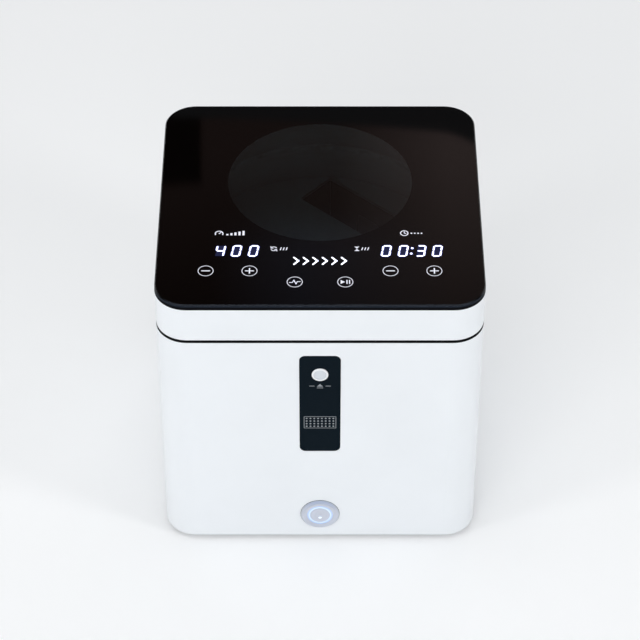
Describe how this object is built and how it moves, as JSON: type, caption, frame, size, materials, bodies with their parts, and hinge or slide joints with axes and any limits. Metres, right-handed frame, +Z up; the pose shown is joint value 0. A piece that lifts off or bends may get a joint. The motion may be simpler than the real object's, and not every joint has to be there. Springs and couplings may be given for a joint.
{
  "type": "microplate centrifuge",
  "caption": "Compact square benchtop microplate centrifuge, white housing, hinged black glass lid with round window.",
  "frame": {"origin": "on the table, under the middle of the housing", "axes": "+X right, +Y to the back, +Z up, front with the buttons at -Y"},
  "size_m": [0.255, 0.2524, 0.26],
  "materials": {
    "white_abs": "satin white moulded plastic",
    "steel_plate": "zinc-plated sheet steel",
    "screw_steel": "plated fasteners",
    "black_rubber": "soft black rubber",
    "seal_grey": "grey silicone",
    "bowl_steel": "spun stainless bowl",
    "motor_alloy": "turned alloy",
    "core_steel": "laminated core",
    "coil_copper": "enamelled copper",
    "ground_steel": "ground steel",
    "rotor_grey": "grey anodised alloy",
    "cover_glass": "tinted toughened glass",
    "black_print": "black print behind the glass",
    "liner_grey": "grey moulded liner",
    "board_green": "circuit board",
    "display_black": "seven-segment display module",
    "pad_foam": "conductive foam",
    "label_black": "dark overlay",
    "button_white": "white push button",
    "nylon_black": "black nylon",
    "switch_metal": "bright metal switch",
    "ring_light": "lit ring",
    "pin_brass": "plated brass"
  },
  "bodies": {
    "housing": {"housing_shell": "white_abs", "base_plate": "steel_plate", "base_screws": "screw_steel", "rubber_feet": "black_rubber", "chamber_bowl": "bowl_steel", "bowl_screws": "screw_steel", "mouth_seal": "seal_grey", "lid_gasket": "black_rubber", "shaft_boot": "black_rubber", "motor_bracket": "steel_plate", "bracket_posts": "screw_steel", "rubber_dampers": "black_rubber", "bracket_screws": "screw_steel", "motor_front_bell": "motor_alloy", "motor_can": "motor_alloy", "stator_core": "core_steel", "motor_windings": "coil_copper", "motor_bearings": "ground_steel", "hinge_ears": "steel_plate", "hinge_screws": "screw_steel", "front_label": "label_black", "open_button_sleeve": "button_white", "open_button_nut": "nylon_black", "latch_bracket": "steel_plate", "latch_pin": "ground_steel", "power_switch_body": "switch_metal", "power_switch_lens": "ring_light", "power_switch_nut": "nylon_black", "power_inlet": "nylon_black", "inlet_pins": "pin_brass", "inlet_screws": "screw_steel", "power_supply": "motor_alloy", "control_board": "board_green", "board_spacers": "nylon_black"},
    "rotor": {"spindle": "ground_steel", "magnet_rotor": "core_steel", "rotor_hub": "motor_alloy", "rotor_base": "motor_alloy", "rotor_screws": "screw_steel", "rotor_drum": "rotor_grey", "plate_cradles": "rotor_grey", "rotor_nut": "screw_steel"},
    "lid": {"lid_frame": "white_abs", "lid_glass": "cover_glass", "glass_print": "black_print", "lid_liner": "liner_grey", "liner_screws": "screw_steel", "touch_board": "board_green", "board_screws": "screw_steel", "speed_display": "display_black", "time_display": "display_black", "touch_pads": "pad_foam", "lid_striker": "steel_plate", "striker_screws": "screw_steel", "hinge_pins": "ground_steel"},
    "open_button": {"open_button": "button_white"},
    "latch": {"latch_lever": "nylon_black", "latch_spring": "ground_steel"},
    "power_button": {"power_button": "switch_metal"}
  },
  "joints": [
    {"name": "lid_hinge", "type": "hinge", "parent": "housing", "child": "lid", "pos_m": [0, 0.115, 0.232], "axis": [-1, 0, 0], "range_deg": [0, 75]},
    {"name": "rotor_spin", "type": "hinge", "parent": "housing", "child": "rotor", "pos_m": [0, 0.005, 0.1], "axis": [0, 0, 1], "continuous": true},
    {"name": "open_button_slide", "type": "slide", "parent": "housing", "child": "open_button", "axis": [0, 1, 0], "range_m": [0, 0.0026], "stiffness_N_per_m": 400},
    {"name": "latch_pivot", "type": "hinge", "parent": "housing", "child": "latch", "pos_m": [0, -0.1163, 0.1997], "axis": [1, 0, 0], "range_deg": [0, 12.2]},
    {"name": "power_button_slide", "type": "slide", "parent": "housing", "child": "power_button", "axis": [0, 1, 0], "range_m": [0, 0.0015], "stiffness_N_per_m": 800}
  ],
  "couplings": [
    {"joint": "latch_pivot", "follows": "open_button_slide", "rad_per_m": 80}
  ]
}
